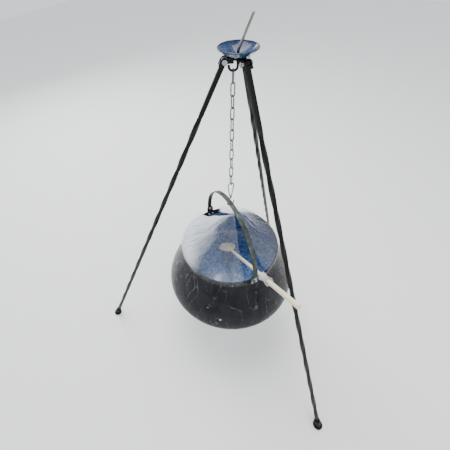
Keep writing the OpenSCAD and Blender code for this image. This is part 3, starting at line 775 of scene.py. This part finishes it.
# where the film is bunched round the spoon's handle, just outside the rim
bunch = dict(start=312 * mm, end=352 * mm, inner=8.6 * mm, flare=5 * mm, rows=22, around=72, thick=0.4 * mm)
verts, faces = [], []
for k in range(2):       # outer and inner skin
    for i in range(bunch["rows"] + 1):
        u = i / bunch["rows"]
        for j in range(bunch["around"]):
            t = 2 * math.pi * j / bunch["around"]
            pleat = abs(math.sin(4.5 * t + 2.2 * u + 0.8 * rough(math.cos(t), math.sin(t), u, 0.7)))
            r = bunch["inner"] + bunch["flare"] * (0.25 + 0.75 * abs(2 * u - 1) ** 1.6) * (0.35 + 0.65 * pleat)
            r -= bunch["thick"] * k
            verts.append((bunch["start"] + (bunch["end"] - bunch["start"]) * u + 2 * mm * pleat * (2 * u - 1),
                          r * math.cos(t), r * math.sin(t)))
ringSize, half = bunch["around"], (bunch["rows"] + 1) * bunch["around"]
for k in range(2):
    for i in range(bunch["rows"]):
        for j in range(ringSize):
            n = (j + 1) % ringSize
            quad = [k * half + i * ringSize + j, k * half + (i + 1) * ringSize + j,
                    k * half + (i + 1) * ringSize + n, k * half + i * ringSize + n]
            faces.append(quad[::-1] if k else quad)
for i in (0, bunch["rows"]):
    for j in range(ringSize):
        n = (j + 1) % ringSize
        quad = [i * ringSize + j, i * ringSize + n, half + i * ringSize + n, half + i * ringSize + j]
        faces.append(quad if i == 0 else quad[::-1])
bunchFilm = clearFilm.copy()
bunchFilm.name = "clearPolytheneBunched"
bunchInputs = bunchFilm.node_tree.nodes["Principled BSDF"].inputs
bunchInputs["Base Color"].default_value = rgb("#eef1f4")
bunchFilm.node_tree.links.remove(bunchInputs["Alpha"].links[0])
bunchInputs["Alpha"].default_value = 0.55
gather = pieceFrom("film_bunch", verts, faces, [bunchFilm], spoonPlace, None, 60, True)
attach(gather, "kettle")
print("film made")

# the metal that stays as the frame has it
plainMetal = dict(head_plate=blackCoat, ear_back=strapSteel, ear_front=strapSteel, hook_washer=zincSteel,
                  hook_nut=zincSteel, leg_bolts=zincSteel, leg_nuts=zincSteel, ear_rivets=zincSteel,
                  bail_pivots=zincSteel)
for name, material in plainMetal.items():
    nodes[name].data.materials.clear()
    nodes[name].data.materials.append(material)

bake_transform(wrap)
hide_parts("film_wrap")

floorMaterial, _, floorShader, _ = startMaterial("palePlaster", Roughness=0.85)
floorShader.inputs["Base Color"].default_value = rgb("#f3f3f2")
floor = pieceFrom("floor", [(-6, -6, -0.0005), (6, -6, -0.0005), (6, 6, -0.0005), (-6, 6, -0.0005)], [[0, 1, 2, 3]],
                  [floorMaterial], fixNormals=False)

world = bpy.data.worlds.new("studio")
bpy.context.scene.world = world
world.use_nodes = True
world.node_tree.nodes["Background"].inputs["Color"].default_value = rgb("#eef1f5")
world.node_tree.nodes["Background"].inputs["Strength"].default_value = 1.25


def softLight(name, place, target, size, power, colour):
    lamp = bpy.data.lights.new(name, "AREA")
    lamp.shape, lamp.size, lamp.energy = "SQUARE", size, power
    lamp.color = rgb(colour)[:3]
    lampObject = bpy.data.objects.new(name, lamp)
    bpy.context.scene.collection.objects.link(lampObject)
    lampObject.location = place
    lampObject.rotation_euler = (Vector(target) - Vector(place)).to_track_quat("-Z", "Y").to_euler()


softLight("topSoftbox", (-0.5, 0.3, 2.9), (0, -0.1, 0.4), 1.6, 60, "#ffffff")
softLight("leftSoftbox", (-2.3, 0.9, 1.7), (0, -0.1, 0.5), 1.2, 44, "#f6f9ff")
softLight("rightSoftbox", (2.0, -1.2, 1.6), (0, -0.1, 0.7), 1.0, 14, "#fff8ee")

view = dict(place=(0.2423, -0.70035, 1.2588), right=(0.877, 0.478, -0.057), up=(-0.2972, 0.6308, 0.7167), lens=24.0,
            shift=1 / 18)
camera = bpy.data.cameras.new("camera")
camera.lens, camera.sensor_width, camera.clip_start = view["lens"], 36.0, 0.02
camera.shift_x, camera.shift_y = view["shift"], -view["shift"]
cameraObject = bpy.data.objects.new("camera", camera)
bpy.context.scene.collection.objects.link(cameraObject)
right = Vector(view["right"]).normalized()
up = (Vector(view["up"]) - right * right.dot(Vector(view["up"]))).normalized()
turned = Matrix((right, up, right.cross(up))).transposed().to_4x4()
cameraObject.matrix_world = Matrix.Translation(view["place"]) @ turned
bpy.context.scene.camera = cameraObject
